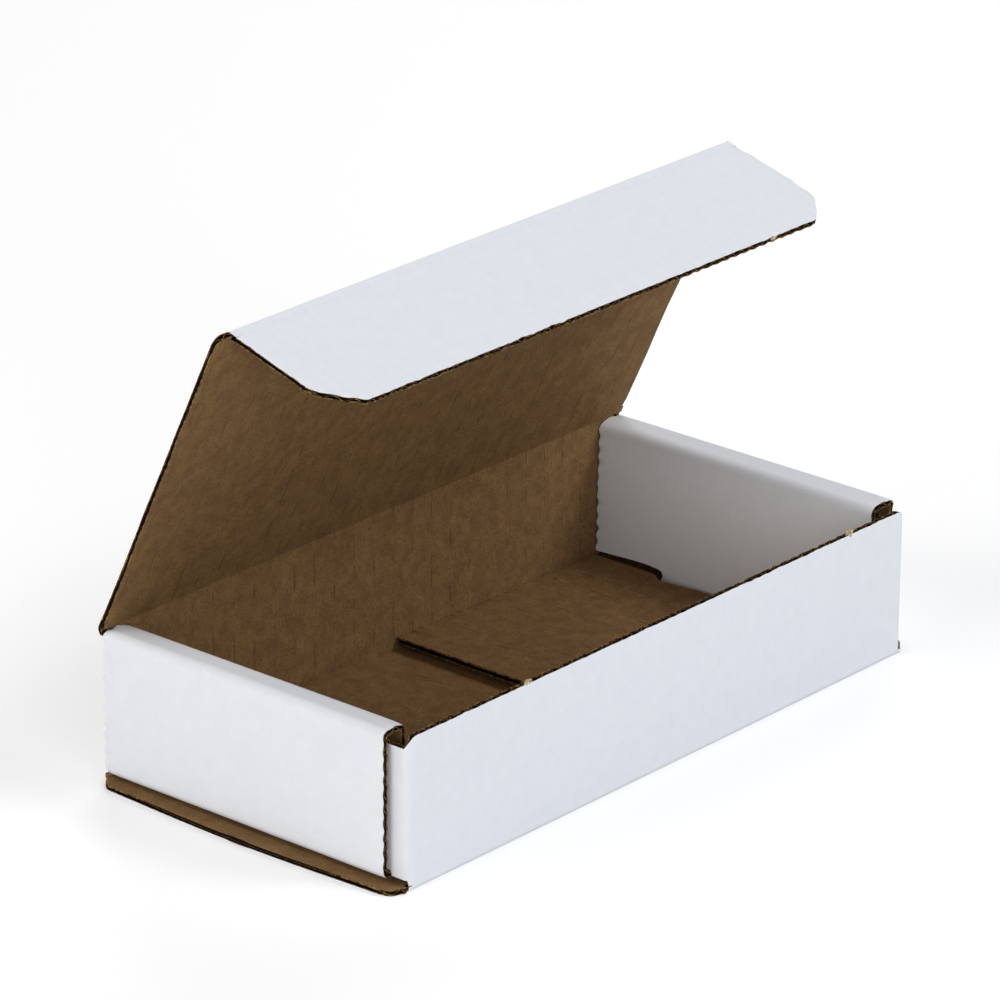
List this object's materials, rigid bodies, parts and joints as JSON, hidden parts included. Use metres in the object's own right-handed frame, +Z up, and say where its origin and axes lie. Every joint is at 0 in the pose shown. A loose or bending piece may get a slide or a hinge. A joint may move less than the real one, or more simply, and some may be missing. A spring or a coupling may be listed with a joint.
{
  "type": "corrugated mailer box",
  "caption": "Long, low corrugated mailer box with roll-over end walls, a hinged lid and a rounded tuck flap, white outside and kraft brown inside, shown part open.",
  "frame": {"origin": "centre of the underside of the bottom", "axes": "+X along the box to the right as seen from the front, +Y from the front wall to the back wall, +Z up"},
  "size_m": [0.3538, 0.1704, 0.2199],
  "materials": {
    "tray": "matte",
    "left_end": "matte",
    "right_end": "matte",
    "lid": "matte",
    "tuck_flap": "matte"
  },
  "bodies": {
    "tray": {"tray": "tray", "left_end": "left_end", "right_end": "right_end"},
    "lid": {"lid": "lid"},
    "tuck_flap": {"tuck_flap": "tuck_flap"}
  },
  "joints": [
    {"name": "lid_hinge", "type": "hinge", "parent": "tray", "child": "lid", "pos_m": [0, 0.08225, 0.0719], "axis": [-1, 0, 0], "range_deg": [-45, 70]},
    {"name": "tuck_hinge", "type": "hinge", "parent": "lid", "child": "tuck_flap", "pos_m": [0, 0.0165, 0.21999], "axis": [1, 0, 0], "range_deg": [-80, 22]}
  ]
}
